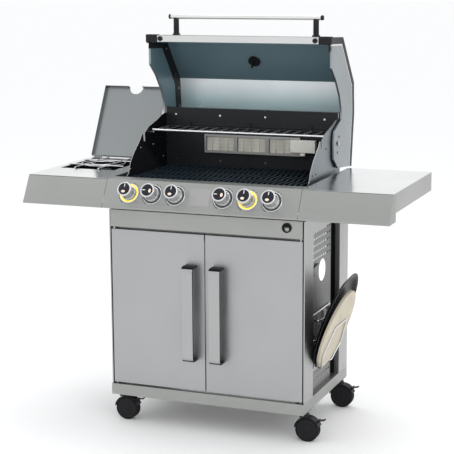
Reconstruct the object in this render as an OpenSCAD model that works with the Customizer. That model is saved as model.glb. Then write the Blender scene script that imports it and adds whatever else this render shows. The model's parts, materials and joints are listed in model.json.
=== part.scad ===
// Gas barbecue grill: a trolley with two doors, a firebox with a hinged lid, two side shelves
// (the left one with a side burner) and a pizza stone and pan hung on the right side.
// Millimetres. X runs left to right, Y front to back, Z up. The lids are modelled raised.

/* [Cart] */
// Outer width of the cart
cart_w = 734; // [730:1:740]
// Underside of the base tray above the floor
base_z = 111; // [111:1:113]
// Height of the base tray's skirt
base_h = 40; // [38:1:41]
// Depth of the cart behind the door fronts
cart_d = 504; // [500:1:506]
// Thickness of the folded sheets
sheet_t = 2; // [1.6:0.1:2.2]
// Width of a front corner post, front to back
post_d = 95; // [90:1:98]

/* [Doors] */
// Outer half width of the pair of doors
door_x = 359; // [357:1:360]
// Gap between the two doors
door_gap = 4; // [3:1:6]
// Top edge of the doors
door_top = 722; // [715:1:726]
// Thickness of a door
door_t = 20; // [18:1:20]

/* [Worktop] */
// Height of the side shelves and of the control panel's top
top_z = 905; // [904:1:906]
// Outer half width over both shelves
shelf_x = 677; // [660:1:690]
// Rear edge of the shelves
shelf_rear = 505; // [500:1:507]
// Depth of a shelf's skirt
skirt_h = 67; // [60:1:72]

/* [Knobs] */
// Distance between neighbouring knobs
knob_pitch = 88; // [84:1:92]
// Radius of a knob's face
knob_r = 26; // [22:1:27]
// Radius of the bezel behind a knob
bezel_r = 36; // [33:1:39]

/* [Lid] */
// Outer half width over the lid's end caps
cap_x = 354.5; // [353:0.5:356]
// Thickness of an end cap
cap_t = 8; // [6:1:9]
// Radius of the handle bar
bar_r = 9; // [7:1:11]
// Length of the handle bar
bar_w = 600; // [560:5:620]

/* [Casters] */
// Diameter of a caster's wheels
wheel_d = 85; // [80:1:85]
// Offset of the axle from the swivel axis
trail = 12; // [10:1:14]

/* [Pizza stone and pan] */
// Radius of the stone
stone_r = 147; // [140:1:148]
// Radius of the pan's rim
pan_r = 178; // [170:1:180]
// Angle by which both lean away from the cart
lean = 19.4; // [17:0.1:21]

/* [Hidden] */
$fn = 64;

// Running clearance of a pin in its hole, and a gap between bodies that pass each other
fit = 0.05;
gap = 0.5;
// Distance from the door fronts to the middle of the grill's depth
mid_y = 255.04;

cart_x = cart_w / 2;
base_top = base_z + base_h;
base_front = -8;
frame_top = 806;
tube_w = 40;
post_front = 24;
rear_post_y = 401;
panel_out = cart_x - 17;
panel_top = 735;
channel_y = 345;
rail_z = 775;
rail_h = 21;

// Front fascia below the control panel
fascia_x = 360;
fascia_y = -5;
fascia_z = [732, 793];
fascia_depth = 18;

// Control panel: a folded sheet, seen from the side as (y, z)
panel_x = 361.5;
panel_fold = [
  [40, top_z], [-16, top_z], [-62, top_z - 83], [-68, top_z - 91], [-68, top_z - 97],
  [-20, top_z - 97]
];
panel_tilt = atan2(83, 46);
knob_y = -41;
knob_z = top_z - 45;
KNOB_X = [for (side = [-1, 1]) for (i = [0:2])
  side * (knob_pitch + 1) + (side < 0 ? i - 2 : i) * knob_pitch];
KNOB_TURN = [0, 90, 0, 90, 0, 0];
stem_r = 3;
pipe_y = 22;
pipe_z = 825;
pipe_r = 8;
inlet = [300, 70, 700];
nipple = [6.5, 20];

// Firebox
box_x = 341;
box_front = 44;
box_rear = 450;
wall_top = 1113;
grate_z = 884;
grate_h = 14;
burner_z = 830;
BURNER_X = [-255, -85, 85, 255];
rack_z = 1042.5;
rack_y = [310, 440];

// Lid: hinge axis and the side outline of the shell, raised, as (y, z)
hinge = [405, 1007];
hinge_r = 6;
shell_in_x = cap_x - cap_t;
shell_fold = [
  [330, 1363], [313, 1366], [313, 1391], [458, 1385], [599, 1212], [607, 1101],
  [577, 902], [540, 905]
];
ear = [
  [538, 906], [410, 917], [364, 953], [359, 1018], [371, 1056], [452, 1090],
  [452, 1125], [428, 1178], [381, 1237], [329, 1282], [329, 1363]
];
handle_at = [399, 1455];
handle_post_x = 272;
dial_x = -13;
dial_at = shell_fold[3] + 0.55 * (shell_fold[4] - shell_fold[3]);
slope_tilt = -atan2(173, 141);

// Shelves, side burner and its lid
shelf_in = 362.5;
shelf_front = -16;
skirt_y = 12;
side_x = -537;
well = [110, 137];
well_y = 302;
well_z = 858;
side_lid = [131, 295];
side_hinge = [456, 909.5];
side_open = -118;
side_flange = 16;
side_pin_r = 2.5;
side_boss_r = 4.2;
SIDE_HINGE_X = [side_x - 103, side_x + 103];

// Stone, pan and the rack that carries them
stone_at = [417, 205, 375];
stone_t = 12;
pan_deep = 12;
pan_back = 11;
cradle_s = 55;
wire_r = 2.5;
wire_bend = 10;

// Casters
caster_x = 348;
CASTER_Y = [62, 474];
wheel_r = wheel_d / 2;
wheel_in = 5;
wheel_out = 17;
hood_r = wheel_r + 4.5;
axle_r = 4;
plate_z = base_z - 3;
brake_angle = 40;
brake_at = [trail + (hood_r + 6) * cos(brake_angle), wheel_r + (hood_r + 6) * sin(brake_angle)];

// ---- Helpers ---------------------------------------------------------------------------

// Box between its lowest and its highest corner
module block(a, b) translate(a) cube(b - a);

// Straight round rod between two points
module rod(a, b, r) {
  v = b - a;
  translate(a) rotate([0, acos(v[2] / norm(v)), atan2(v[1], v[0])]) cylinder(r = r, h = norm(v));
}

// Round wire through a list of points, bent at each corner; the bends are a hair thicker than
// the straight rods, which run a little way into them
module wire(points, r, bend) {
  n = len(points);
  along = [for (i = [0:n - 2]) unit(points[i + 1] - points[i])];
  turn = [for (i = [0:n - 1]) i == 0 || i == n - 1 ? 0 : acos(along[i - 1] * along[i])];
  cut = [for (a = turn) bend * tan(a / 2)];
  ends = [for (c = cut) max(c - 1, 0)];
  for (i = [0:n - 2]) rod(points[i] + ends[i] * along[i], points[i + 1] - ends[i + 1] * along[i], r);
  for (i = [1:n - 2])
    let (a = along[i - 1], w = unit(cross(a, along[i])), u = cross(a, w),
         c = points[i] - cut[i] * a - bend * u)
    multmatrix([[u[0], a[0], w[0], c[0]], [u[1], a[1], w[1], c[1]], [u[2], a[2], w[2], c[2]],
                [0, 0, 0, 1]])
      rotate_extrude(angle = turn[i]) translate([bend, 0]) circle(r = r + 0.15);
}

// Round bar along X, centred on (y, z)
module bar_x(x0, x1, y, z, r)
  translate([x0, y, z]) rotate([0, 90, 0]) cylinder(r = r, h = x1 - x0);

// Round bar along Y, centred on (x, z)
module bar_y(x, y0, y1, z, r)
  translate([x, y0, z]) rotate([-90, 0, 0]) cylinder(r = r, h = y1 - y0);

// A flat outline in (y, z), given thickness along X
module plate_x(x0, x1)
  translate([x0, 0, 0]) rotate([90, 0, 90]) linear_extrude(x1 - x0) children();

// Outline of a bent sheet: a path and the same path moved to its left by t
function unit(v) = v / norm(v);
function left_of(a, b) = let (d = unit(b - a)) [-d[1], d[0]];
function mitre(p, i, t) =
  let (n = len(p),
       before = i == 0 ? left_of(p[0], p[1]) : left_of(p[i - 1], p[i]),
       after = i == n - 1 ? left_of(p[n - 2], p[n - 1]) : left_of(p[i], p[i + 1]),
       m = before + after)
  p[i] + m * (2 * t / (m * m));
function strip(p, t) = concat(p, [for (i = [len(p) - 1:-1:0]) mitre(p, i, t)]);

// Sheet folded along a (y, z) path
module folded(path, x0, x1, t = sheet_t) plate_x(x0, x1) polygon(strip(path, t));

// Rectangle with true round corners
module round_rect(a, b, r) {
  translate(a + [r, 0]) square(b - a - [2 * r, 0]);
  translate(a + [0, r]) square(b - a - [0, 2 * r]);
  for (x = [a[0] + r, b[0] - r], y = [a[1] + r, b[1] - r]) translate([x, y]) circle(r = r);
}

// Upright rectangular tube
module tube_z(a, b, wall = sheet_t) {
  difference() {
    block(a, b);
    block([a[0] + wall, a[1] + wall, a[2] - 1], [b[0] - wall, b[1] - wall, b[2] + 1]);
  }
}

module both_sides() {
  children();
  mirror([1, 0, 0]) children();
}

// Puts the middle of the whole depth at the origin
module place() translate([0, -mid_y, 0]) children();

// ---- Cart ------------------------------------------------------------------------------

// Tray with a skirt, and four plates under its corners for the casters
module base_tray() {
  corner = 80;
  color("lightgray") {
    difference() {
      block([-cart_x, base_front, base_z], [cart_x, cart_d, base_top]);
      block([-cart_x + sheet_t, base_front + sheet_t, base_z - 1],
            [cart_x - sheet_t, cart_d - sheet_t, base_top - sheet_t]);
    }
    both_sides() for (y = [base_front + 1, cart_d - corner - 1])
      block([cart_x - corner, y, base_z], [cart_x - 1, y + corner, base_z + sheet_t]);
  }
}

// Corner posts, top rails, the stop rail behind the doors, and two rails across the open back
module cart_frame() {
  in_x = cart_x - tube_w;
  color("silver") {
    both_sides() {
      tube_z([in_x, post_front, base_top], [cart_x, post_d, frame_top]);
      block([cart_x - 4, 0, base_top], [cart_x, post_front, frame_top - 14]);
      tube_z([in_x, rear_post_y, base_top], [cart_x, cart_d, frame_top]);
      difference() {
        block([in_x + 13, post_d, panel_top + sheet_t], [cart_x, rear_post_y, frame_top]);
        block([in_x + 15, post_d - 1, panel_top + 2 * sheet_t],
              [cart_x - sheet_t, rear_post_y + 1, frame_top - sheet_t]);
      }
    }
    block([-in_x, post_front + 7, rail_z], [in_x, post_front + 18, rail_z + 37]);
    block([-in_x, post_front + 2, door_top - 27], [in_x, post_front + 8, door_top + 22]);
    block([-in_x, cart_d - 20, rail_z], [in_x, cart_d, rail_z + rail_h]);
    block([-in_x, cart_d - 20, base_top], [in_x, cart_d, base_top + 40]);
  }
}

// Dark channels between the side panels and the rear posts
module side_channels() {
  color("dimgray") both_sides() {
    difference() {
      block([panel_out - 14, channel_y, base_top], [panel_out, rear_post_y, panel_top]);
      block([panel_out - 14 + sheet_t, channel_y + sheet_t, base_top - 1],
            [panel_out + 1, rear_post_y - sheet_t, panel_top + 1]);
    }
  }
}

// Recessed side wall with two perforated fields, a hand hole and a small hooked tab
module side_panel() {
  thin_t = 1;
  hole_r = 4.5;
  first_y = 154;
  row_z = concat([for (i = [0:2]) 192 + 24 * i], [for (i = [0:4]) 628 + 24 * i]);
  hand = [246, 575];
  difference() {
    block([panel_out - thin_t, post_d, base_top], [panel_out, channel_y, panel_top]);
    for (z = row_z, col = [0:8])
      bar_x(panel_out - 5, panel_out + 5, first_y + 22 * col, z, hole_r);
    bar_x(panel_out - 5, panel_out + 5, hand[0], hand[1], 40);
  }
  translate([panel_out, 0, 0]) plate_x(0, 9) polygon([[124, 604], [180, 612], [130, 572]]);
}

module right_side_panel() color("gainsboro") side_panel();
module left_side_panel() color("gainsboro") mirror([1, 0, 0]) side_panel();

// Folded strip between the doors and the control panel
module front_fascia() {
  color("silver") {
    folded([[fascia_y + fascia_depth, fascia_z[1]], [fascia_y, fascia_z[1]],
            [fascia_y, fascia_z[0]], [fascia_y + fascia_depth, fascia_z[0]]], -fascia_x, fascia_x);
    both_sides() block([fascia_x - 5, fascia_y + sheet_t, fascia_z[0] + sheet_t],
                       [fascia_x - 3, post_front, fascia_z[1] - sheet_t]);
  }
}

// Cast opener: a round plate with an open mouth and a lip
module bottle_opener() {
  at = [304, fascia_y, 768];
  color("black") translate(at) rotate([90, 0, 0]) {
    difference() {
      cylinder(r = 17, h = 5);
      translate([0, -4, -1]) cylinder(r = 9, h = 7);
    }
    translate([-6, 2, 5]) cube([12, 6, 6]);
    for (x = [-12, 12]) translate([x, 2, 5]) cylinder(r = 2.5, h = 1.5);
  }
}

// Hinge pins of the lid, the doors and the side burner's lid
module hinge_pins() {
  door_pin = [door_x - 8, 8];
  color("gray") both_sides() {
    bar_x(box_x + sheet_t, cap_x + 2, hinge[0], hinge[1], hinge_r);
    bar_x(cap_x + 2, cap_x + 5, hinge[0], hinge[1], hinge_r + 3);
    translate([door_pin[0], door_pin[1], base_top]) cylinder(r = 4, h = 16);
    translate([door_pin[0], door_pin[1], door_top - 12])
      cylinder(r = 4, h = fascia_z[0] - door_top + 12);
  }
  color("gray") for (x = SIDE_HINGE_X) {
    bar_x(x - 14, x + 14, side_hinge[0], side_hinge[1], side_pin_r);
    for (end = [-16, 11])
      block([x + end, side_hinge[0] - 5, top_z], [x + end + 5, side_hinge[0] + 5, side_hinge[1] + 5]);
  }
}

// Plates and swivel stems of the casters
module caster_plates() {
  color("black") for (x = [-caster_x, caster_x], y = CASTER_Y) {
    block([x - 18, y - 22, plate_z], [x + 18, y + 22, base_z]);
    translate([x, y, plate_z - 19]) cylinder(r = 5, h = 19);
  }
}

// ---- Doors -----------------------------------------------------------------------------

// Pan-shaped door skin with bosses for its hinge pins
module door() {
  low = base_top + 5;
  pin = [door_x - 8, 8];
  difference() {
    union() {
      difference() {
        block([door_gap / 2, 0, low], [door_x, door_t, door_top]);
        block([door_gap / 2 + sheet_t, sheet_t, low + sheet_t],
              [door_x - sheet_t, door_t + 1, door_top - sheet_t]);
      }
      for (z = [low, door_top - 14]) translate([pin[0], pin[1], z]) cylinder(r = 7, h = 14);
    }
    translate([pin[0], pin[1], low - 1]) cylinder(r = 4 + fit, h = 14);
    translate([pin[0], pin[1], door_top - 13]) cylinder(r = 4 + fit, h = 14);
  }
}

module right_door() color("lightgray") door();
module left_door() color("lightgray") mirror([1, 0, 0]) door();

// Flat bar handle with its ends turned back to the door
module door_handle() {
  z = [269, 613];
  reach = 45;
  plate_x(30, 72) difference() {
    round_rect([-reach, z[0]], [reach, z[1]], 18);
    round_rect([-reach + 7, z[0] + 8], [reach - 7, z[1] - 8], 11);
    translate([0, z[0] - 1]) square([reach + 1, z[1] - z[0] + 2]);
  }
}

module right_door_handle() color("white") door_handle();
module left_door_handle() color("white") mirror([1, 0, 0]) door_handle();

// ---- Firebox ---------------------------------------------------------------------------

// Side plates with the stepped top edge, the spit notch and pegs for the warming rack
module firebox_side_plates() {
  color("black") both_sides() {
    plate_x(box_x, box_x + sheet_t) polygon([
      [box_front, frame_top], [box_front, 892], [100, 898], [115, 908], [130, 942],
      [162, 975], [207, 1009], [232, 1034], [240, 1034], [246, 1008], [256, 1004],
      [255, 1037], [290, 1055], [373, 1075], [410, 1088], [450, 1092], [450, wall_top],
      [470, wall_top], [470, frame_top]
    ]);
    for (y = rack_y) bar_x(box_x - 14, box_x, y, rack_z - 8.5, 4);
  }
}

// Tub with a floor that falls to a slot over the grease tray, ledges and tray rails
module firebox_tub() {
  side_z = 812;
  slot_z = 800;
  slot_x = 60;
  color("black") {
    difference() {
      block([-box_x, box_front, side_z], [box_x, box_front + sheet_t, 900]);
      for (x = BURNER_X) bar_y(x, box_front - 5, box_front + 5, burner_z, 12.5);
    }
    both_sides() {
      translate([0, box_rear, 0]) rotate([90, 0, 0]) linear_extrude(box_rear - box_front)
        polygon(strip([[box_x, side_z], [slot_x, slot_z], [slot_x, slot_z - 4]], -sheet_t));
      block([box_x - sheet_t, box_front, side_z], [box_x, box_rear, grate_z]);
      translate([0, 460, 0]) rotate([90, 0, 0]) linear_extrude(380)
        polygon(strip([[172, 806], [172, 752], [150, 752]], sheet_t));
    }
    for (y = [box_front + sheet_t, box_rear - 20], z = [grate_z - 3, 848])
      block([-box_x + sheet_t, y, z], [box_x - sheet_t, y + 18, z + 3]);
    block([-box_x + sheet_t, box_rear - 8, burner_z - 15],
          [box_x - sheet_t, box_rear - 5, burner_z + 12]);
  }
}

module rear_wall() {
  color("black") {
    block([-box_x, box_rear, frame_top], [box_x, box_rear + sheet_t, wall_top]);
    block([-box_x, box_rear + sheet_t, wall_top - sheet_t], [box_x, 470, wall_top]);
  }
}

// Infrared burner on the rear wall: a frame and three ceramic tiles
module rear_burner() {
  x = [-178, 201];
  z = [948, 1018];
  color("tan") {
    difference() {
      block([x[0], box_rear - 16, z[0]], [x[1], box_rear, z[1]]);
      for (i = [0:2])
        block([-170 + 125 * i, box_rear - 17, z[0] + 9], [-55 - 4 + 125 * i, box_rear - 5, z[1] - 9]);
    }
    for (i = [0:2])
      block([-169 + 125 * i, box_rear - 11, z[0] + 10], [-60 + 125 * i, box_rear - 5, z[1] - 10]);
  }
}

module igniter_box() {
  color("wheat") {
    block([170, box_rear - 36, 965], [265, box_rear - 16, 1011]);
    block([207, box_rear - 34, 953], [225, box_rear - 16, 965]);
  }
}

// Four straight tube burners with a capped rear end and a row of ports on each side
module main_burners() {
  color("silver") for (x = BURNER_X) {
    difference() {
      bar_y(x, 31, 430, burner_z, 12);
      bar_y(x, 30, 425, burner_z, 10);
    }
    bar_y(x, 31, 36, burner_z, 12);
    bar_y(x, 428, 441, burner_z, 6);
  }
}

// Folded covers over the burners
module flame_tamers() {
  color("dimgray") for (x = BURNER_X) translate([x, 446, 0]) rotate([90, 0, 0])
    linear_extrude(396) polygon(strip([[60, 851], [52, 851], [0, 874], [-52, 851], [-60, 851]], -1.5));
}

// Wavy cast bars, front to back, joined by three cross bars
module cooking_grate() {
  w = 320;
  bars = 16;
  steps = 28;
  y0 = 52;
  y1 = 444;
  wave = 3.2;
  bar = 7;
  pitch = (w - bar - 2 * wave) / (bars - 1);
  color("darkslategray") {
    for (i = [0:bars - 1]) let (x = bar / 2 + wave + pitch * i)
      translate([x, 0, grate_z + 3]) linear_extrude(grate_h - 3) polygon(concat(
        [for (k = [0:steps]) [wave * sin(360 * k / 7) - bar / 2, y0 + (y1 - y0) * k / steps]],
        [for (k = [steps:-1:0]) [wave * sin(360 * k / 7) + bar / 2, y0 + (y1 - y0) * k / steps]]));
    for (y = [y0, (y0 + y1) / 2 - 5, y1 - 10])
      block([0, y, grate_z], [w, y + 10, grate_z + 5]);
  }
}

module grate_right() translate([3, 0, 0]) cooking_grate();
module grate_left() translate([-323, 0, 0]) cooking_grate();

// Thin rods between two thick bars, with three short posts on the rear bar
module warming_rack() {
  rods = 16;
  x = 326;
  rear_y = rack_y[1];
  color("silver") {
    for (y = rack_y) bar_x(-x - 8, x + 8, y, rack_z, 4);
    for (i = [0:rods]) bar_y(-x + 2 * x * i / rods, rack_y[0], rear_y, rack_z, 2);
    for (post = [-240, 0, 240]) translate([post, rear_y, rack_z]) cylinder(r = 2.5, h = 20);
  }
}

// Slide-out tray under the slot in the tub
module grease_tray() {
  tray_x = 169;
  low = 752.3;
  color("silver") difference() {
    block([-tray_x, 86, low], [tray_x, 456, low + 14]);
    block([-tray_x + 1.5, 87.5, low + 1.5], [tray_x - 1.5, 454.5, low + 15]);
  }
}

// ---- Gas train and controls ------------------------------------------------------------

// Moves to a knob's centre on the sloping panel, with Z out of the panel
module at_knob(i) translate([KNOB_X[i], knob_y, knob_z]) rotate([panel_tilt, 0, 0]) children();

// Manifold pipe with six valves and their stems, and the gas inlet inside the cabinet
module gas_manifold() {
  elbow_z = 765;
  color("goldenrod") {
    bar_x(-330, 330, pipe_y, pipe_z, pipe_r);
    for (i = [0:5]) at_knob(i) {
      translate([0, 0, -70]) cylinder(r = 7.5, h = 62);
      translate([0, 0, -9]) cylinder(r = stem_r, h = 36);
    }
    rod([inlet[0], pipe_y, elbow_z], [inlet[0], pipe_y, pipe_z], pipe_r);
    rod([inlet[0], pipe_y, elbow_z], [inlet[0], inlet[1], elbow_z], pipe_r);
    rod(inlet, [inlet[0], inlet[1], elbow_z], pipe_r);
    translate(inlet - [0, 0, nipple[1]]) cylinder(r = nipple[0], h = nipple[1]);
    for (y = [pipe_y, inlet[1]]) translate([inlet[0], y, elbow_z]) sphere(r = pipe_r);
  }
}

module control_panel() {
  color("silver") difference() {
    folded(panel_fold, -panel_x, panel_x);
    for (i = [0:5]) at_knob(i) translate([0, 0, -5]) cylinder(r = stem_r + 2, h = 10);
  }
}

module knob_bezels() {
  color("white") for (i = [0:5]) at_knob(i) difference() {
    union() {
      cylinder(r = bezel_r, h = 2);
      translate([0, 0, 2]) cylinder(r1 = bezel_r, r2 = bezel_r - 5, h = 3);
    }
    translate([0, 0, -1]) cylinder(r = stem_r + 2, h = 8);
    translate([0, 0, 3]) cylinder(r = bezel_r - 7, h = 4);
  }
}

// Knob with a waisted barrel, a ring round its face and a raised pointer
module knob(i) {
  ring_at = 45;
  color("silver") at_knob(i) rotate([0, 0, KNOB_TURN[i]]) {
    difference() {
      union() {
        translate([0, 0, 5.5]) cylinder(r1 = knob_r + 3, r2 = knob_r + 1, h = 8);
        translate([0, 0, 13.5]) cylinder(r1 = knob_r + 1, r2 = knob_r - 2, h = ring_at - 13.5);
        translate([0, 0, ring_at]) cylinder(r = knob_r, h = 5);
      }
      translate([0, 0, 5]) cylinder(r = stem_r + fit, h = 24);
    }
    translate([-1.5, 3, ring_at + 5]) cube([3, 18, 1.5]);
  }
}

module knob_1() knob(0);
module knob_2() knob(1);
module knob_3() knob(2);
module knob_4() knob(3);
module knob_5() knob(4);
module knob_6() knob(5);

// ---- Shelves and side burner -----------------------------------------------------------

// Shelf: a top sheet with a skirt down its outer side, its back and its inner side
module shelf() {
  low = top_z - skirt_h;
  under = top_z - sheet_t;
  color("lightgray") {
    block([shelf_in, shelf_front, under], [shelf_x, shelf_rear, top_z]);
    block([shelf_x - sheet_t, skirt_y, low], [shelf_x, shelf_rear, under]);
    block([shelf_in, shelf_rear - sheet_t, low], [shelf_x - sheet_t, shelf_rear, under]);
    block([shelf_in, skirt_y, low], [shelf_in + sheet_t, shelf_rear - sheet_t, under]);
    block([shelf_in + sheet_t, skirt_y, low], [shelf_x - sheet_t, skirt_y + sheet_t, under]);
  }
}

module right_shelf() shelf();

// The left shelf has a rectangular opening for the side burner
module left_shelf() {
  difference() {
    mirror([1, 0, 0]) shelf();
    block([side_x - well[0], well_y - well[1], top_z - 5],
          [side_x + well[0], well_y + well[1], top_z + 1]);
  }
}

// Sloping fronts of the two shelves, in line with the control panel
module shelf_fascias() {
  edge = [-16.9, top_z - sheet_t - 0.1];
  fold = [edge, panel_fold[2], panel_fold[3], panel_fold[4], [10, top_z - 97]];
  color("silver") both_sides() {
    folded(fold, shelf_in, shelf_x - sheet_t);
    plate_x(shelf_x - sheet_t, shelf_x)
      polygon(concat(fold, [[skirt_y, top_z - 97], [skirt_y, edge[1]]]));
  }
}

// Drip bowl hung in the shelf's opening by a flange
module side_burner_bowl() {
  w = well - [1, 1];
  flange = well + [7, 7];
  rim = top_z - sheet_t;
  color("black") translate([side_x, well_y, 0]) {
    difference() {
      union() {
        block([-w[0], -w[1], well_z], [w[0], w[1], rim]);
        block([-flange[0], -flange[1], rim - 1.5], [flange[0], flange[1], rim]);
      }
      block([-w[0] + 1.5, -w[1] + 1.5, well_z + 1.5], [w[0] - 1.5, w[1] - 1.5, rim + 1]);
    }
  }
}

// Burner body, its stem through the bowl's floor level, and the cap
module side_burner_head() {
  color("gray") translate([side_x, well_y, well_z + 1.5]) {
    cylinder(r = 15, h = 10);
    translate([0, 0, 10]) cylinder(r1 = 26, r2 = 31, h = 10);
    translate([0, 0, 20]) cylinder(r = 34, h = 4);
    translate([0, 0, 24]) cylinder(r1 = 34, r2 = 28, h = 4);
  }
}

// Pan support: crossed bars and two rings, standing on the bowl's rim
module side_burner_grate() {
  low = top_z - sheet_t;
  span = well + [4, 4];
  color("silver") translate([side_x, well_y, 0]) {
    for (x = [-48, 48]) block([x - 2.5, -span[1], low + 2.2], [x + 2.5, span[1], low + 9]);
    for (y = [-62, 62]) block([-span[0], y - 2.5, low + 2.2], [span[0], y + 2.5, low + 9]);
    for (r = [47, 84]) translate([0, 0, low + 3]) difference() {
      cylinder(r = r, h = 4);
      translate([0, 0, -1]) cylinder(r = r - 4, h = 6);
    }
  }
}

// Side burner lid: a shallow pan with a finger notch, raised about its rear hinge
module side_burner_lid() {
  high = side_hinge[1] + 12.5;
  front = side_hinge[0] - 4 - side_lid[1];
  rear = side_hinge[0] - 4;
  low = high - side_flange;
  t = 1.5;
  left = side_x - side_lid[0];
  right = side_x + side_lid[0];
  color("silver") translate([0, side_hinge[0], side_hinge[1]]) rotate([side_open, 0, 0])
    translate([0, -side_hinge[0], -side_hinge[1]]) difference() {
      union() {
        difference() {
          block([left, front, low], [right, rear, high]);
          block([left + t, front + t, low - 1], [right - t, rear - t, high - t]);
        }
        for (x = SIDE_HINGE_X) {
          bar_x(x - 9, x + 9, side_hinge[0], side_hinge[1], side_boss_r);
          block([x - 9, rear - t, side_hinge[1]], [x + 9, side_hinge[0], side_hinge[1] + side_boss_r]);
        }
      }
      for (x = SIDE_HINGE_X) {
        bar_x(x - 10, x + 10, side_hinge[0], side_hinge[1], side_pin_r + fit);
        for (end = [-18, 9]) block([x + end, rear - 8, low - 1], [x + end + 9, rear + 1, high - 3]);
      }
      translate([side_x, front, low - 1]) cylinder(r = 28, h = side_flange + 2);
    }
}

// ---- Lid -------------------------------------------------------------------------------

module lid_shell() {
  color("slategray") difference() {
    folded(shell_fold, -shell_in_x, shell_in_x, -sheet_t);
    translate([dial_x, dial_at[0], dial_at[1]]) rotate([slope_tilt, 0, 0])
      translate([0, 0, -8]) cylinder(r = 12.5, h = 16);
  }
}

// Thick end caps with the hinge ears
module lid_end_caps() {
  outer = [for (i = [2:6]) shell_fold[i]];
  color("silver") both_sides() difference() {
    plate_x(shell_in_x, cap_x) polygon(concat(outer, ear, [[313, 1366]]));
    bar_x(shell_in_x - 1, cap_x + 1, hinge[0], hinge[1], hinge_r + fit);
  }
}

// Bright strip along the lid's front edge, with two rubber buffers
module lid_rim_trim() {
  color("white") {
    block([-310, 309, 1367.5], [310, 313, 1389.5]);
    for (x = [-298, 298]) bar_y(x, 303.7, 309, 1378.5, 9);
  }
}

// Bar handle on two posts
module lid_handle() {
  foot = 1388.1;
  color("silver") {
    bar_x(-bar_w / 2, bar_w / 2, handle_at[0], handle_at[1], bar_r);
    for (x = [-handle_post_x, handle_post_x]) {
      translate([x, handle_at[0], foot]) cylinder(r = 11, h = handle_at[1] - foot);
      translate([x, handle_at[0], foot]) cylinder(r = 15, h = 5);
    }
  }
}

// Dial outside the lid's slope, its body through the sheet and its nut inside
module thermometer() {
  color("white") translate([dial_x, dial_at[0], dial_at[1]]) rotate([slope_tilt, 0, 0]) {
    cylinder(r = 36, h = 12);
    translate([0, 0, -10]) cylinder(r = 12, h = 12);
    translate([0, 0, -10]) cylinder(r = 23, h = 10 - sheet_t);
    translate([0, 0, -40]) cylinder(r = 4, h = 32);
  }
}

// ---- Pizza stone, pan and rack ---------------------------------------------------------

// Frame of the leaning discs: X points along the cart's side, Y up the slope, Z outwards
module leaning() {
  translate(stone_at) multmatrix([
    [0, sin(lean), cos(lean), 0], [1, 0, 0, 0], [0, cos(lean), -sin(lean), 0], [0, 0, 0, 1]
  ]) children();
}

module pizza_stone() color("bisque") leaning() translate([0, 0, -stone_t / 2])
  cylinder(r = stone_r, h = stone_t, $fn = 96);

// Shallow round pan with a flared wall and a flat rim
module round_pan() {
  t = 1.6;
  base_r = pan_r - 26;
  rise = pan_r - stone_r;
  color("black") leaning() translate([0, rise, -pan_back]) rotate_extrude($fn = 96)
    polygon([
      [0, -pan_deep], [base_r, -pan_deep], [pan_r - 9, -t], [pan_r, -t], [pan_r, 0],
      [pan_r - 10, 0], [base_r - 1, t - pan_deep], [0, t - pan_deep]
    ]);
}

// A point on the rack: s along the side, t up the slope, d outwards from the stone's middle
function slope_at(s, t, d) =
  stone_at + [d * cos(lean) + t * sin(lean), s, t * cos(lean) - d * sin(lean)];

// Chrome wires: a back frame, two hoops behind the pan, the cradle and the front loop
module accessory_rack() {
  y = [stone_at[1] - cradle_s, stone_at[1] + cradle_s];
  hoop_y = [120, 316];
  rail_r = wire_r + 0.3;
  wall_x = panel_out + rail_r + 0.3;
  top = 434;
  play = 2.6;
  low_t = -sqrt(stone_r * stone_r - cradle_s * cradle_s) - wire_r - play;
  wall_d = (wall_x - stone_at[0] - low_t * sin(lean)) / cos(lean);
  front_d = stone_t / 2 + wire_r + 1.5;
  bottom = slope_at(0, low_t, wall_d)[2] - 12;
  color("silver") {
    wire([slope_at(cradle_s, low_t, wall_d), slope_at(cradle_s, low_t, front_d),
          slope_at(104, -80, front_d), slope_at(66, 24, front_d), slope_at(-66, 24, front_d),
          slope_at(-104, -80, front_d), slope_at(-cradle_s, low_t, front_d),
          slope_at(-cradle_s, low_t, wall_d)], wire_r, wire_bend);
    for (z = [top, bottom]) rod([wall_x, 112, z], [wall_x, 324, z], rail_r);
    for (s = concat(y, hoop_y)) rod([wall_x, s, bottom], [wall_x, s, top], wire_r - 0.3);
    for (hoop = [[421, 384], [347, 368]])
      wire([[panel_out, hoop_y[0], hoop[0]], [hoop[1], hoop_y[0], hoop[0]],
            [hoop[1], hoop_y[1], hoop[0]], [panel_out, hoop_y[1], hoop[0]]], wire_r, wire_bend);
    for (z = [top, bottom], s = [116, 320]) bar_x(panel_out, panel_out + 4, s, z, 4);
  }
}

// ---- Casters ---------------------------------------------------------------------------

// Corner 0 to 3: front left, front right, rear left, rear right
module at_caster(i)
  translate([i % 2 == 0 ? -caster_x : caster_x, CASTER_Y[floor(i / 2)], 0]) children();

// Disc around the axle's line, as wide as twice its half width
module disc(r, half) translate([trail, half, wheel_r]) rotate([90, 0, 0]) cylinder(r = r, h = 2 * half);

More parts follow.
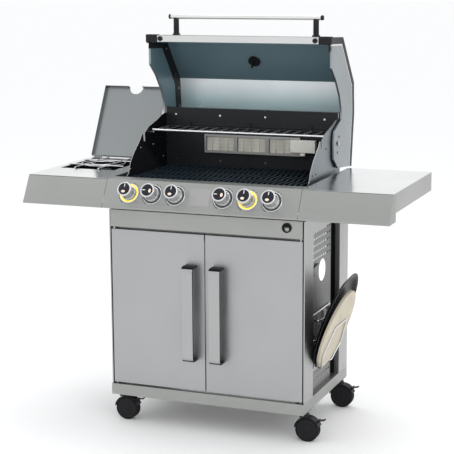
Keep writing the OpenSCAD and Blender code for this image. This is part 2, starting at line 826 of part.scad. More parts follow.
// Hood over the wheels, the web between them, the stem socket and the brake's ears
module fork(i) {
  arc = [18, 172];
  far = 90;
  color("black") at_caster(i) difference() {
    union() {
      difference() {
        disc(hood_r, wheel_out + 1);
        disc(hood_r - 3, wheel_out + 2);
        translate([trail, wheel_out + 2, wheel_r]) rotate([90, 0, 0]) linear_extrude(2 * wheel_out + 4)
          polygon([[0, 0], far * [cos(arc[1]), sin(arc[1])], [-far, -far], [far, -far],
                   far * [cos(arc[0]), sin(arc[0])]]);
      }
      translate([0, 0, wheel_d + 1]) cylinder(r = 13, h = plate_z - gap - wheel_d - 1);
      block([-14, -wheel_out - 1, wheel_d + 2], [12, wheel_out + 1, wheel_d + 12]);
      block([trail - 12, -wheel_in + 1, wheel_r], [trail + 12, wheel_in - 1, wheel_d + 2]);
      disc(12, wheel_in - 1);
      for (y = [-12, 9]) translate([trail, y, wheel_r]) rotate([0, -brake_angle, 0])
        translate([hood_r - 2, 0, -4]) cube([12, 3, 8]);
      translate([brake_at[0], 10, brake_at[1]]) rotate([90, 0, 0]) cylinder(r = 1.5, h = 20);
    }
    translate([0, 0, wheel_d + 2]) cylinder(r = 5 + fit, h = 40);
    disc(axle_r + fit, wheel_in + 1);
  }
}

// Two wheels on one axle
module wheels(i) {
  color("dimgray") at_caster(i) translate([trail, 0, wheel_r]) rotate([90, 0, 0]) {
    for (z = [-wheel_out, wheel_in]) translate([0, 0, z]) difference() {
      cylinder(r = wheel_r, h = wheel_out - wheel_in);
      translate([0, 0, z < 0 ? -1 : wheel_out - wheel_in - 1]) difference() {
        cylinder(r = wheel_r - 7, h = 2);
        translate([0, 0, -1]) cylinder(r = 12, h = 4);
      }
    }
    translate([0, 0, -wheel_in]) cylinder(r = axle_r, h = 2 * wheel_in);
  }
}

// Brake lever that turns on the hood's ears
module brake(i) {
  color("black") at_caster(i) translate([brake_at[0], 0, brake_at[1]]) rotate([0, -15, 0]) difference() {
    union() {
      translate([0, 8.5, 0]) rotate([90, 0, 0]) cylinder(r = 4, h = 17);
      block([0, -8.5, -1.5], [22, 8.5, 1.5]);
      translate([22, 8.5, 0]) rotate([90, 0, 0]) cylinder(r = 2.2, h = 17);
    }
    translate([0, 10, 0]) rotate([90, 0, 0]) cylinder(r = 1.5 + fit, h = 20);
  }
}

module fork_fl() fork(0);
module fork_fr() fork(1);
module fork_rl() fork(2);
module fork_rr() fork(3);
module wheels_fl() wheels(0);
module wheels_fr() wheels(1);
module wheels_rl() wheels(2);
module wheels_rr() wheels(3);
module brake_fl() brake(0);
module brake_fr() brake(1);
module brake_rl() brake(2);
module brake_rr() brake(3);

// ---- Nodes -----------------------------------------------------------------------------

place() base_tray();
place() cart_frame();
place() side_channels();
place() left_side_panel();
place() right_side_panel();
place() front_fascia();
place() bottle_opener();
place() hinge_pins();
place() caster_plates();
place() firebox_side_plates();
place() firebox_tub();
place() rear_wall();
place() rear_burner();
place() igniter_box();
place() main_burners();
place() flame_tamers();
place() gas_manifold();
place() control_panel();
place() knob_bezels();
place() left_shelf();
place() right_shelf();
place() shelf_fascias();
place() side_burner_bowl();
place() side_burner_head();
place() side_burner_grate();
place() accessory_rack();
place() warming_rack();
place() grate_left();
place() grate_right();
place() grease_tray();
place() left_door();
place() right_door();
place() left_door_handle();
place() right_door_handle();
place() lid_shell();
place() lid_end_caps();
place() lid_rim_trim();
place() lid_handle();
place() thermometer();
place() side_burner_lid();
place() pizza_stone();
place() round_pan();
place() knob_1();
place() knob_2();
place() knob_3();
place() knob_4();
place() knob_5();
place() knob_6();
place() fork_fl();
place() fork_fr();
place() fork_rl();
place() fork_rr();
place() wheels_fl();
place() wheels_fr();
place() wheels_rl();
place() wheels_rr();
place() brake_fl();
place() brake_fr();
place() brake_rl();
place() brake_rr();
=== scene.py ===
import json
import math

import bmesh
import bpy
from mathutils import Matrix, Vector


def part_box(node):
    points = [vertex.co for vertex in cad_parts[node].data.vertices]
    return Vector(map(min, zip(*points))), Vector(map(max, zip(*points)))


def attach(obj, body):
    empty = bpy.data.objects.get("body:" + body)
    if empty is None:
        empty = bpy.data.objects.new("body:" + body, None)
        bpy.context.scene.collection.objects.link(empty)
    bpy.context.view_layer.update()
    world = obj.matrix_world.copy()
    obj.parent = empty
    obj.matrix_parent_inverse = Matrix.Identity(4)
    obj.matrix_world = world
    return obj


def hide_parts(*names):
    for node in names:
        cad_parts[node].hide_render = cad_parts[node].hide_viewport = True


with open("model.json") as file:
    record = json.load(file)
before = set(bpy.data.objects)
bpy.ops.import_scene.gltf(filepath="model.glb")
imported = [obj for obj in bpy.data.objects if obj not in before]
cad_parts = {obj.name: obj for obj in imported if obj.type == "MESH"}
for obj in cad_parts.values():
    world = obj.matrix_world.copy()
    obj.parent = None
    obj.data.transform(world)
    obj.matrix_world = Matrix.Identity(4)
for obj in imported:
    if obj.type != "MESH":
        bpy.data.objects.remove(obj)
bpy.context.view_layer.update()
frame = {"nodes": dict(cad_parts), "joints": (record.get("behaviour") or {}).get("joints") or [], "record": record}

# Gas barbecue grill: procedural materials, bevelled skins over the CAD sheets, and turned or swept
# pieces for what needs more detail. Lengths are millimetres until MM turns them into metres.

MM = 0.001
NODES = frame["nodes"]
JOINTS = {j["name"]: j for j in frame["joints"]}
BODY = {n: b for b, members in frame["record"]["behaviour"]["bodies"].items() for n in members}
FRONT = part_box("left_door")[0].y
X, Y, Z = Vector((1, 0, 0)), Vector((0, 1, 0)), Vector((0, 0, 1))

# The raised lid's folds as (y, z), from its front rim over the top and down its back.
LID_OUTLINE = [(313, 1391), (458, 1385), (599, 1212), (607, 1101), (577, 902)]
TOP_FOLD_Z, REAR_FOLD_Z = LID_OUTLINE[1][1], LID_OUTLINE[2][1]
SHARP = math.radians(32)


def at(x, y, z):
    """A point in millimetres from the floor under the middle of the door fronts."""
    return Vector((x * MM, FRONT + y * MM, z * MM))


def mm_box(node):
    """A CAD node's corners in the same millimetres as at()."""
    low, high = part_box(node)
    shift = Vector((0, FRONT, 0))
    return (low - shift) / MM, (high - shift) / MM


# ---- Materials -------------------------------------------------------------------------------


def add(tree, kind, inputs=None, **settings):
    node = tree.nodes.new(kind)
    for key, value in settings.items():
        setattr(node, key, value)
    for key, value in (inputs or {}).items():
        if isinstance(value, bpy.types.NodeSocket):
            tree.links.new(value, node.inputs[key])
        else:
            node.inputs[key].default_value = value
    return node


def blank(name, **sockets):
    mat = bpy.data.materials.new(name)
    mat.use_nodes = True
    shader = mat.node_tree.nodes["Principled BSDF"]
    for key, value in sockets.items():
        shader.inputs[key.replace("_", " ")].default_value = value
    return mat, mat.node_tree, shader


def noise(tree, scale, stretch=(1, 1, 1), detail=3.0):
    """Noise over the object's own coordinates, in features per metre, stretched along an axis."""
    coords = add(tree, "ShaderNodeTexCoord").outputs["Object"]
    mapped = add(tree, "ShaderNodeMapping", {"Vector": coords, "Scale": stretch})
    return add(tree, "ShaderNodeTexNoise", {
        "Vector": mapped.outputs["Vector"], "Scale": scale, "Detail": detail,
    }).outputs["Fac"]


def spread(tree, value, low, high, from_low=0.3, from_high=0.7):
    return add(tree, "ShaderNodeMapRange", {
        "Value": value, "From Min": from_low, "From Max": from_high, "To Min": low, "To Max": high,
    }).outputs["Result"]


def blend_colour(tree, factor, a, b):
    mix = add(tree, "ShaderNodeMix", data_type="RGBA")
    tree.links.new(factor, mix.inputs["Factor"])
    for socket, value in ((mix.inputs[6], a), (mix.inputs[7], b)):
        if isinstance(value, bpy.types.NodeSocket):
            tree.links.new(value, socket)
        else:
            socket.default_value = (*value, 1)
    return mix.outputs[2]


def worn_edges(tree, colour, bare, amount=0.6):
    """Lightens convex edges, where handling has rubbed the finish."""
    reach = 0.045
    point = add(tree, "ShaderNodeNewGeometry").outputs["Pointiness"]
    edge = spread(tree, point, 0, amount, 0.5 + reach / 2, 0.5 + reach * 2)
    return blend_colour(tree, edge, colour, bare)


def bump(tree, shader, height, strength, distance):
    node = add(tree, "ShaderNodeBump", {
        "Height": height, "Strength": strength, "Distance": distance,
    })
    tree.links.new(node.outputs["Normal"], shader.inputs["Normal"])


def brushed(name, colour, rough, grain="x", contrast=0.05):
    """Brushed sheet: long fine grain along one axis, soft handling marks, rubbed edges."""
    stretch = {"x": (6, 900, 900), "y": (900, 6, 900), "z": (900, 900, 6)}[grain]
    mat, tree, shader = blank(name, Metallic=1.0)
    lines = noise(tree, 1.0, stretch, 2.0)
    marks = noise(tree, 5.0)
    dark = tuple(c * (1 - contrast) for c in colour)
    light = tuple(min(c * (1 + contrast), 1) for c in colour)
    tone = blend_colour(tree, spread(tree, lines, 0, 1), dark, light)
    dull = tuple(c * 0.8 for c in colour)
    smudged = blend_colour(tree, spread(tree, marks, 0, 0.12), tone, dull)
    edged = worn_edges(tree, smudged, tuple(min(c * 1.25, 1) for c in colour), amount=0.5)
    tree.links.new(edged, shader.inputs["Base Color"])
    sum_rough = add(tree, "ShaderNodeMath", {
        0: spread(tree, lines, rough - 0.05, rough + 0.05), 1: spread(tree, marks, -0.03, 0.05),
    }, operation="ADD").outputs[0]
    tree.links.new(sum_rough, shader.inputs["Roughness"])
    bump(tree, shader, lines, 0.12, 0.0002)
    return mat


def polished(name, colour, rough=0.08):
    """Chrome or polished steel with faint wipe marks."""
    mat, tree, shader = blank(name, Metallic=1.0)
    marks = noise(tree, 40.0)
    dull = tuple(c * 0.9 for c in colour)
    tone = blend_colour(tree, spread(tree, marks, 0, 0.5), colour, dull)
    tree.links.new(tone, shader.inputs["Base Color"])
    tree.links.new(spread(tree, marks, rough * 0.6, rough * 1.8), shader.inputs["Roughness"])
    bump(tree, shader, noise(tree, 220.0), 0.03, 0.0002)
    return mat


def coated(name, colour, rough, bare, grain=260.0, depth=0.1, coat=0.0, fleck=0.25, shine=0.5):
    """Enamel, paint, plastic, rubber or casting: a fine grain, dust and rubbed edges."""
    mat, tree, shader = blank(name, Coat_Weight=coat, Coat_Roughness=0.12,
                              Specular_IOR_Level=shine)
    fine = noise(tree, grain)
    dust = noise(tree, 9.0)
    mottled = blend_colour(tree, spread(tree, fine, 0, fleck), colour, bare)
    edged = worn_edges(tree, mottled, bare)
    tree.links.new(edged, shader.inputs["Base Color"])
    tree.links.new(spread(tree, dust, rough - 0.07, rough + 0.1), shader.inputs["Roughness"])
    bump(tree, shader, fine, depth, 0.0006)
    return mat


def lit(name, colour, strength):
    """Tinted light ring behind a knob."""
    mat, tree, shader = blank(name, Roughness=0.25, Coat_Weight=0.6, Emission_Strength=strength)
    ripple = noise(tree, 90.0)
    tint = blend_colour(tree, spread(tree, ripple, 0, 1), colour, tuple(c * 0.8 for c in colour))
    tree.links.new(tint, shader.inputs["Base Color"])
    tree.links.new(tint, shader.inputs["Emission Color"])
    return mat


def tinted(name, low_colour, high_colour, low_z, high_z, metal, rough):
    """Smooth inner sheet of the lid, its colour lighter with height between low_z and high_z: painted light."""
    mat, tree, shader = blank(name, Metallic=metal)
    coords = add(tree, "ShaderNodeTexCoord").outputs["Object"]
    height = add(tree, "ShaderNodeSeparateXYZ", {"Vector": coords}).outputs["Z"]
    rise = spread(tree, height, 0, 1, low_z * MM, high_z * MM)
    tone = blend_colour(tree, rise, low_colour, high_colour)
    marks = noise(tree, 6.0)
    dull = tuple(c * 0.7 for c in low_colour)
    smudged = blend_colour(tree, spread(tree, marks, 0, 0.15), tone, dull)
    tree.links.new(smudged, shader.inputs["Base Color"])
    tree.links.new(spread(tree, marks, rough - 0.04, rough + 0.06), shader.inputs["Roughness"])
    bump(tree, shader, noise(tree, 1.0, (6, 700, 700), 2.0), 0.06, 0.0002)
    return mat


def stone_material():
    mat, tree, shader = blank("stone", Specular_IOR_Level=0.25)
    coarse, fine = noise(tree, 22.0), noise(tree, 420.0, detail=5.0)
    base = blend_colour(tree, spread(tree, coarse, 0, 1), (0.53, 0.485, 0.39), (0.62, 0.57, 0.47))
    specks = blend_colour(tree, spread(tree, fine, 0, 0.5, 0.58, 0.7), base, (0.42, 0.35, 0.25))
    tree.links.new(specks, shader.inputs["Base Color"])
    tree.links.new(spread(tree, fine, 0.78, 0.95), shader.inputs["Roughness"])
    bump(tree, shader, fine, 0.35, 0.0008)
    return mat


def tile_material():
    """Ceramic tile with a close field of small holes, coloured dark as painted shade inside them."""
    mat, tree, shader = blank("ceramic_tile", Roughness=0.85)
    coords = add(tree, "ShaderNodeTexCoord").outputs["Object"]
    cells = add(tree, "ShaderNodeTexVoronoi", {
        "Vector": coords, "Scale": 420.0, "Randomness": 0.15,
    })
    hole = spread(tree, cells.outputs["Distance"], 1, 0, 0.12, 0.3)
    stains = blend_colour(tree, spread(tree, noise(tree, 30.0, (1, 1, 0.4)), 0, 1),
                          (0.44, 0.43, 0.38), (0.62, 0.60, 0.53))
    # Darkening at the holes is painted shade.
    pierced = blend_colour(tree, hole, stains, (0.16, 0.15, 0.13))
    tree.links.new(pierced, shader.inputs["Base Color"])
    bump(tree, shader, cells.outputs["Distance"], 0.4, 0.001)
    return mat


STEEL = brushed("stainless", (0.34, 0.345, 0.335), 0.42)
STEEL_Y = brushed("stainless_side", (0.38, 0.38, 0.375), 0.38, "y")
PANEL_SIDE = brushed("stainless_perforated", (0.20, 0.20, 0.20), 0.42, "z")
PLATE_OUT = brushed("stainless_plate", (0.21, 0.235, 0.25), 0.36, "z", 0.03)
DOOR = brushed("stainless_door", (0.385, 0.39, 0.395), 0.4, "z", 0.03)
# Shelf tops' steel: smoother, and much lighter in colour than the folded sides, the lighter colour a painted
# sheen.
SHELF_TOP_SHEEN = brushed("stainless_shelf_top_sheen", (0.66, 0.665, 0.67), 0.2, "y", 0.03)
SIDE_LID = brushed("side_lid", (0.27, 0.285, 0.29), 0.34, "z", 0.03)
INSIDE = tinted("lid_inside", (0.14, 0.225, 0.26), (0.18, 0.28, 0.32),
                REAR_FOLD_Z, TOP_FOLD_Z, 0.3, 0.34)
# The rear band's inside, pale and near white towards the top: a painted highlight.
INSIDE_PAINTED_HIGHLIGHT = tinted("lid_inside_rear_painted_highlight", (0.48, 0.64, 0.67), (0.92, 0.97, 0.99),
                     1120, 1200, 0.25, 0.3)
CAP = brushed("lid_cap", (0.31, 0.335, 0.345), 0.36, "z", 0.03)
RIM = brushed("lid_rim", (0.68, 0.68, 0.67), 0.2, "x", 0.03)
HANDLE = brushed("handle_bar", (0.40, 0.405, 0.405), 0.34, "z", 0.03)
ZINC = brushed("zinc", (0.45, 0.45, 0.44), 0.3, "x")
CHROME = polished("chrome", (0.72, 0.72, 0.73))
ENAMEL = coated("black_enamel", (0.004, 0.0045, 0.006), 0.26, (0.03, 0.032, 0.036),
                fleck=0.08, shine=0.16)
IRON = coated("cast_iron", (0.006, 0.011, 0.017), 0.36, (0.05, 0.075, 0.09),
              grain=500.0, depth=0.35, fleck=0.15, shine=0.14)
# Black paint; on the door handles' returns it is painted shade.
DARK_PAINT_AND_SHADE = coated("dark_paint_and_shade", (0.006, 0.006, 0.007), 0.42, (0.03, 0.03, 0.03),
               fleck=0.15, shine=0.15)
PLASTIC = coated("black_plastic", (0.007, 0.007, 0.009), 0.45, (0.03, 0.03, 0.032),
                 grain=700.0, depth=0.15, fleck=0.15, shine=0.2)
RUBBER = coated("tyre", (0.006, 0.007, 0.008), 0.6, (0.03, 0.03, 0.03),
                grain=350.0, depth=0.2, fleck=0.15, shine=0.15)
BEIGE = coated("beige_enamel", (0.88, 0.88, 0.84), 0.35, (0.55, 0.52, 0.44),
               grain=120.0, depth=0.06, coat=0.1, fleck=0.3)
ALUMINIUM = brushed("cast_aluminium", (0.38, 0.38, 0.38), 0.45, "x", 0.1)
BRASS = polished("brass", (0.74, 0.58, 0.28), 0.22)
FACE = coated("knob_face", (0.004, 0.005, 0.010), 0.16, (0.02, 0.022, 0.03),
              grain=300.0, depth=0.02, coat=0.15, fleck=0.1, shine=0.3)
POINTER = coated("pointer_paint", (0.85, 0.87, 0.88), 0.35, (0.6, 0.6, 0.6),
                 grain=200.0, depth=0.03)
MARK = coated("knob_mark", (0.88, 0.66, 0.52), 0.3, (0.95, 0.85, 0.75),
              grain=150.0, depth=0.04, coat=0.2, fleck=0.5)
# Black print; in screw recesses and the side burner's ports it is painted shade.
BLACK_PRINT_AND_SHADE = coated("black_print_and_shade", (0.006, 0.006, 0.006), 0.5, (0.03, 0.03, 0.03),
               grain=400.0, depth=0.05, fleck=0.1, shine=0.15)
LABEL = brushed("label_plate", (0.36, 0.36, 0.355), 0.46, "x", 0.02)
PAN = coated("pan_enamel", (0.003, 0.0035, 0.006), 0.3, (0.02, 0.022, 0.03),
             fleck=0.06, shine=0.05)
RODS = brushed("rack_rods", (0.85, 0.86, 0.87), 0.42, "y", 0.04)
STONE = stone_material()
TILE = tile_material()
GLOW = {
    "yellow": lit("ring_yellow", (0.95, 0.74, 0.08), 0.5),
    "dark": lit("ring_dark", (0.03, 0.03, 0.035), 0.0),
}

# ---- Mesh helpers ----------------------------------------------------------------------------


def finish_piece(name, bm, mats, node, body=None, replaces=(), bevel=0.0, segments=2):
    """Makes the mesh an object that rides with its CAD body, with bevelled and shaded edges."""
    bmesh.ops.recalc_face_normals(bm, faces=bm.faces)
    mesh = bpy.data.meshes.new(name)
    bm.to_mesh(mesh)
    bm.free()
    for mat in mats:
        mesh.materials.append(mat)
    mesh.polygons.foreach_set("use_smooth", [True] * len(mesh.polygons))
    obj = bpy.data.objects.new(name, mesh)
    bpy.context.scene.collection.objects.link(obj)
    if bevel:
        mod = obj.modifiers.new("edges", "BEVEL")
        mod.width = bevel * MM
        mod.segments = segments
        mod.limit_method = "ANGLE"
        mod.angle_limit = SHARP
        mod.harden_normals = True
        mod.use_clamp_overlap = False
        weighted = obj.modifiers.new("normals", "WEIGHTED_NORMAL")
        weighted.keep_sharp = True
    else:
        mesh.set_sharp_from_angle(angle=SHARP)
    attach(obj, body or BODY[node])
    if replaces:
        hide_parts(*replaces)


def skin(node, *mats, pick=None, bevel=0.5, segments=2):
    """The CAD node's own shape with rounded edges. pick numbers a face's material."""
    bm = bmesh.new()
    bm.from_mesh(NODES[node].data)
    bmesh.ops.remove_doubles(bm, verts=bm.verts, dist=0.02 * MM)
    bmesh.ops.dissolve_limit(bm, angle_limit=math.radians(0.5), verts=bm.verts, edges=bm.edges)
    for face in bm.faces:
        face.normal_update()
        face.material_index = pick(face.calc_center_median(), face.normal) if pick else 0
    finish_piece(node + "_skin", bm, mats, node, replaces=[node], bevel=bevel, segments=segments)


def basis(origin, z_axis, x_axis=X):
    """Matrix of a place with its own Z along z_axis and X as near x_axis as it can be."""
    z = Vector(z_axis).normalized()
    y = z.cross(x_axis).normalized()
    x = y.cross(z)
    return Matrix.Translation(origin) @ Matrix((x, y, z)).transposed().to_4x4()


def arc(centre, radius, start, end, steps=6):
    """Points of a profile's round stretch, in degrees."""
    angles = [math.radians(start + (end - start) * i / steps) for i in range(steps + 1)]
    return [(centre[0] + radius * math.cos(a), centre[1] + radius * math.sin(a)) for a in angles]


def lathe(bm, profile, place, turns=64):
    """Turns a profile of (radius, height) in millimetres about the place's Z."""
    rings = []
    angles = [math.tau * i / turns for i in range(turns)]
    for r, z in profile:
        if r == 0:
            rings.append([bm.verts.new(place @ Vector((0, 0, z * MM)))])
        else:
            rings.append([bm.verts.new(place @ Vector((
                r * MM * math.cos(a), r * MM * math.sin(a), z * MM))) for a in angles])
    for a, b in zip(rings, rings[1:]):
        for i in range(turns):
            j = (i + 1) % turns
            corners = [a[i % len(a)], a[j % len(a)], b[j % len(b)], b[i % len(b)]]
            corners = list(dict.fromkeys(corners))
            if len(corners) > 2:
                bm.faces.new(corners)


def slab(bm, size, place, material=0):
    """A box in millimetres, centred on its place, for a bevel to round."""
    scale = Matrix.Diagonal((*[s * MM for s in size], 1))
    made = bmesh.ops.create_cube(bm, size=1.0, matrix=place @ scale)
    for face in {f for v in made["verts"] for f in v.link_faces}:
        face.material_index = material


def tube(bm, points, r, sides=16, material=0, round_ends=True):
    """A round bar swept along points, with rounded ends."""
    r *= MM
    ahead = (points[1] - points[0]).normalized()
    side = ahead.cross(Z if abs(ahead.z) < 0.9 else X).normalized()
    rings = []

    def ring(centre, axis, radius):
        nonlocal side
        side = (side - axis * side.dot(axis)).normalized()
        other = axis.cross(side)
        rings.append([bm.verts.new(centre + (side * math.cos(t) + other * math.sin(t)) * radius)
                      for t in (math.tau * i / sides for i in range(sides))])

    steps = (0.35, 0.8, 1.0) if round_ends else (1.0,)
    for share in steps:
        ring(points[0] + ahead * r * (1 - share) * 0.5, ahead, r * share)
    for a, b, c in zip(points, points[1:], points[2:]):
        ring(b, ((b - a).normalized() + (c - b).normalized()).normalized(), r)
    last = (points[-1] - points[-2]).normalized()
    for share in reversed(steps):
        ring(points[-1] - last * r * (1 - share) * 0.5, last, r * share)
    for a, b in zip(rings, rings[1:]):
        for i in range(sides):
            j = (i + 1) % sides
            bm.faces.new((a[i], a[j], b[j], b[i])).material_index = material
    bm.faces.new(rings[0][::-1]).material_index = material
    bm.faces.new(rings[-1]).material_index = material


def screw_heads(name, spots, radius, mat, node):
    """Domed heads with a cross recess, at (place, outward normal) pairs. The recess is a thin black cross on the
    dome: painted shade.
    """
    flatness, sunk, recess_z = 0.62, 0.3, 0.30
    bm = bmesh.new()
    dome = [(0, 0.36), (0.12, 0.36), (0.14, 0.5)] + arc((0, 0), 1, 28, 0, 5)
    head = [(r * radius, z * radius * flatness) for r, z in dome] + [(radius, -sunk)]
    for spot, normal in spots:
        place = basis(spot, normal, X if abs(Vector(normal).x) < 0.9 else Y)
        lathe(bm, head, place, 24)
        # The black cross stands in for the shade inside the recess.
        for turn in (0, math.pi / 2):
            recess = (place @ Matrix.Translation((0, 0, recess_z * radius * MM))
                      @ Matrix.Rotation(turn, 4, "Z"))
            slab(bm, (radius, radius * 0.22, radius * 0.10), recess, 1)
    finish_piece(name, bm, [mat, BLACK_PRINT_AND_SHADE], node)


# ---- Camera, light and floor -----------------------------------------------------------------


def make_camera():
    """Stands to the right of the grill and a little above it, as the photograph was taken."""
    yaw, pitch, roll = (math.radians(a) for a in (21.90, -10.83, -0.39))
    stand = at(1820.5, -4352.8, 1646.6)
    ahead = Vector((-math.sin(yaw) * math.cos(pitch), math.cos(yaw) * math.cos(pitch),
                    math.sin(pitch)))
    right = Vector((math.cos(yaw), math.sin(yaw), 0))
    up = right.cross(ahead)
    turned = (right * math.cos(roll) + up * math.sin(roll),
              up * math.cos(roll) - right * math.sin(roll))
    data = bpy.data.cameras.new("camera")
    data.lens, data.sensor_width = 109.91, 36
    data.shift_x, data.shift_y = 0.0081, 0.0038
    data.clip_end = 300
    cam = bpy.data.objects.new("camera", data)
    cam.matrix_world = (Matrix.Translation(stand)
                        @ Matrix((*turned, -ahead)).transposed().to_4x4())
    bpy.context.scene.collection.objects.link(cam)
    bpy.context.scene.camera = cam


def make_light(name, where, target, size, power):
    data = bpy.data.lights.new(name, "AREA")
    data.shape, data.size, data.size_y, data.energy = "RECTANGLE", size[0], size[1], power
    lamp = bpy.data.objects.new(name, data)
    lamp.location = where
    lamp.rotation_euler = (Vector(target) - Vector(where)).to_track_quat("-Z", "Y").to_euler()
    bpy.context.scene.collection.objects.link(lamp)


def make_studio():
    """Three soft lamps and an even white sky. A lamp is name, place, target, size and power."""
    middle = (0, 0, 0.8)
    make_light("key", (3.2, -3.6, 3.2), middle, (3.6, 3.0), 46)
    make_light("fill", (-3.8, -2.4, 2.6), middle, (2.4, 2.8), 14)
    make_light("top", (0.2, 0.8, 3.8), middle, (3.0, 2.4), 36)
    world = bpy.data.worlds.new("studio")
    bpy.context.scene.world = world
    world.use_nodes = True
    tree = world.node_tree
    coords = add(tree, "ShaderNodeTexCoord").outputs["Generated"]
    height = add(tree, "ShaderNodeSeparateXYZ", {"Vector": coords}).outputs["Z"]
    rise = spread(tree, height, 0, 1, 0.0, 0.7)
    sky = blend_colour(tree, rise, (1.0, 1.0, 1.0), (0.90, 0.91, 0.92))
    back = tree.nodes["Background"]
    tree.links.new(sky, back.inputs["Color"])
    back.inputs["Strength"].default_value = 1.1
    bpy.context.scene.view_settings.view_transform = "Standard"


def make_floor():
    """A wide pale floor, which is no part of the grill."""
    bm = bmesh.new()
    bmesh.ops.create_grid(bm, x_segments=1, y_segments=1, size=120)
    mesh = bpy.data.meshes.new("floor")
    bm.to_mesh(mesh)
    bm.free()
    mat, tree, shader = blank("floor", Specular_IOR_Level=0.1, Roughness=0.9)
    tone = blend_colour(tree, noise(tree, 3.0), (0.95, 0.95, 0.95), (0.97, 0.97, 0.97))
    tree.links.new(tone, shader.inputs["Base Color"])
    mesh.materials.append(mat)
    floor = bpy.data.objects.new("floor", mesh)
    bpy.context.scene.collection.objects.link(floor)


make_camera()
make_studio()
make_floor()

# ---- Cart ------------------------------------------------------------------------------------


def make_cart():
    skin("base_tray", STEEL, bevel=0.8, segments=3)
    channel = mm_box("side_channels")[1]
    rail_length, rail_inner_x = 300, 320

    def dark_rail(centre, normal):
        """The rail between the posts, over the side panels, is coloured dark."""
        between = FRONT + (channel.y - rail_length) * MM < centre.y < FRONT + channel.y * MM
        return int(between and centre.z > channel.z * MM and abs(centre.x) > rail_inner_x * MM)

    skin("cart_frame", STEEL_Y, DARK_PAINT_AND_SHADE, pick=dark_rail, bevel=0.5)
    skin("side_channels", DARK_PAINT_AND_SHADE, bevel=0.5)
    for side in ("left", "right"):
        skin(side + "_side_panel", PANEL_SIDE, bevel=0.15, segments=1)
        skin(side + "_door", DOOR, bevel=0.9, segments=3)
    skin("front_fascia", STEEL, bevel=0.8, segments=3)
    skin("bottle_opener", DARK_PAINT_AND_SHADE, bevel=0.8, segments=3)
    skin("hinge_pins", ZINC, bevel=0.5)
    skin("caster_plates", PLASTIC, bevel=0.5)


def make_cart_screws():
    """Four heads on the strip over the doors and two at each end of the posts."""
    head_r = 3.2
    low, high = mm_box("front_fascia")
    sides = [(at(s * (high.x - 14), low.y, z), -Y) for s in (-1, 1)
             for z in (low.z + 9, high.z - 9)]
    screw_heads("fascia_screws", sides, head_r, ZINC, "front_fascia")
    low, high = mm_box("cart_frame")
    front_y, rear_y = 60, high.y - 50
    posts = [(at(s * high.x, y, z), X * s) for s in (-1, 1) for y in (front_y, rear_y)
             for z in (low.z + 14, high.z - 12)]
    screw_heads("post_screws", posts, head_r, ZINC, "cart_frame")


def make_door_handle(side):
    """A flat polished bar; its returns and ends are coloured black as painted shade."""
    node = side + "_door_handle"
    bar_depth = 3
    front = FRONT + (mm_box(node)[0].y + bar_depth) * MM

    def front_face(centre, normal):
        return 0 if normal.y < -0.5 and centre.y < front else 1

    # Every face but the front is dark: painted shade on the handle's returns.
    skin(node, HANDLE, DARK_PAINT_AND_SHADE, pick=front_face, bevel=0.9, segments=3)


# ---- Firebox ---------------------------------------------------------------------------------


def make_firebox():
    """Enamelled box and covers, iron grates, and the pieces that carry gas and grease."""
    plate_x = mm_box("firebox_side_plates")[1].x * MM
    near = 1.5 * MM

    def plate_zone(centre, normal):
        """Enamel inside, grey steel outside, and cut edges in bright zinc: bare metal and a painted edge
        highlight.
        """
        if abs(normal.x) < 0.5:
            return 1
        return 2 if centre.x * normal.x > 0 and abs(centre.x) > plate_x - near else 0

    skin("firebox_side_plates", ENAMEL, ZINC, PLATE_OUT, pick=plate_zone, bevel=0.4)
    for node in ("firebox_tub", "rear_wall", "flame_tamers"):
        skin(node, ENAMEL, bevel=0.5)
    for node in ("grate_left", "grate_right"):
        skin(node, IRON, bevel=0.9)
    skin("main_burners", ZINC, bevel=0.4)
    skin("gas_manifold", BRASS, bevel=0.4)
    skin("grease_tray", STEEL, bevel=0.4)
    skin("igniter_box", BEIGE, bevel=1.6, segments=3)


def make_warming_rack():
    """Chrome rods on two thick bars, with three posts on the dark rear one."""
    low, high = mm_box("warming_rack")
    thick, rod_r, post_r, rods = 4, 2, 2.5, 16
    post_xs = (-240, 0, 240)
    z = low.z + thick
    front_y, back_y = low.y + thick, high.y - thick
    reach = high.x - 8
    bm = bmesh.new()
    for material, y in enumerate((front_y, back_y)):
        tube(bm, [at(-high.x, y, z), at(high.x, y, z)], thick, material=material)
    for i in range(rods + 1):
        x = -reach + 2 * reach * i / rods
        tube(bm, [at(x, front_y, z), at(x, back_y, z)], rod_r, 12)
    for x in post_xs:
        tube(bm, [at(x, back_y, z), at(x, back_y, high.z)], post_r, 12, material=1)
    finish_piece("warming_rack_rods", bm, [RODS, ENAMEL], "warming_rack", replaces=["warming_rack"])


def make_rear_burner():
    """Steel frame, three perforated tiles and guard wires across them."""
    low, high = mm_box("rear_burner")
    tiles, rows, bays = 3, 4, 12
    edge, face, tile_thick, wire_r = 9, high.y - 11, 1.2, 0.9
    skin("rear_burner", STEEL, bevel=0.7)
    pitch = (high.x - low.x - 4) / tiles
    wide = pitch - 14
    tall = (high.z - low.z - 2 * edge) / rows
    for i in range(tiles):
        x0 = low.x + edge + pitch * i
        bm = bmesh.new()
        for row in range(rows):
            middle = at(x0 + wide / 2, face - tile_thick / 2, low.z + edge + tall * (row + 0.5))
            slab(bm, (wide - 2, tile_thick, tall - 0.6), Matrix.Translation(middle))
        finish_piece(f"burner_tile_{i + 1}", bm, [TILE], "rear_burner", bevel=0.25)
    bm = bmesh.new()
    wire_y, bottom, top = low.y + 2, low.z + edge - 2, high.z - edge + 2
    for i in range(1, bays):
        x = low.x + (high.x - low.x) * i / bays
        tube(bm, [at(x, wire_y, bottom), at(x, wire_y, top)], wire_r, 8)
    finish_piece("burner_guard", bm, [CHROME], "rear_burner")


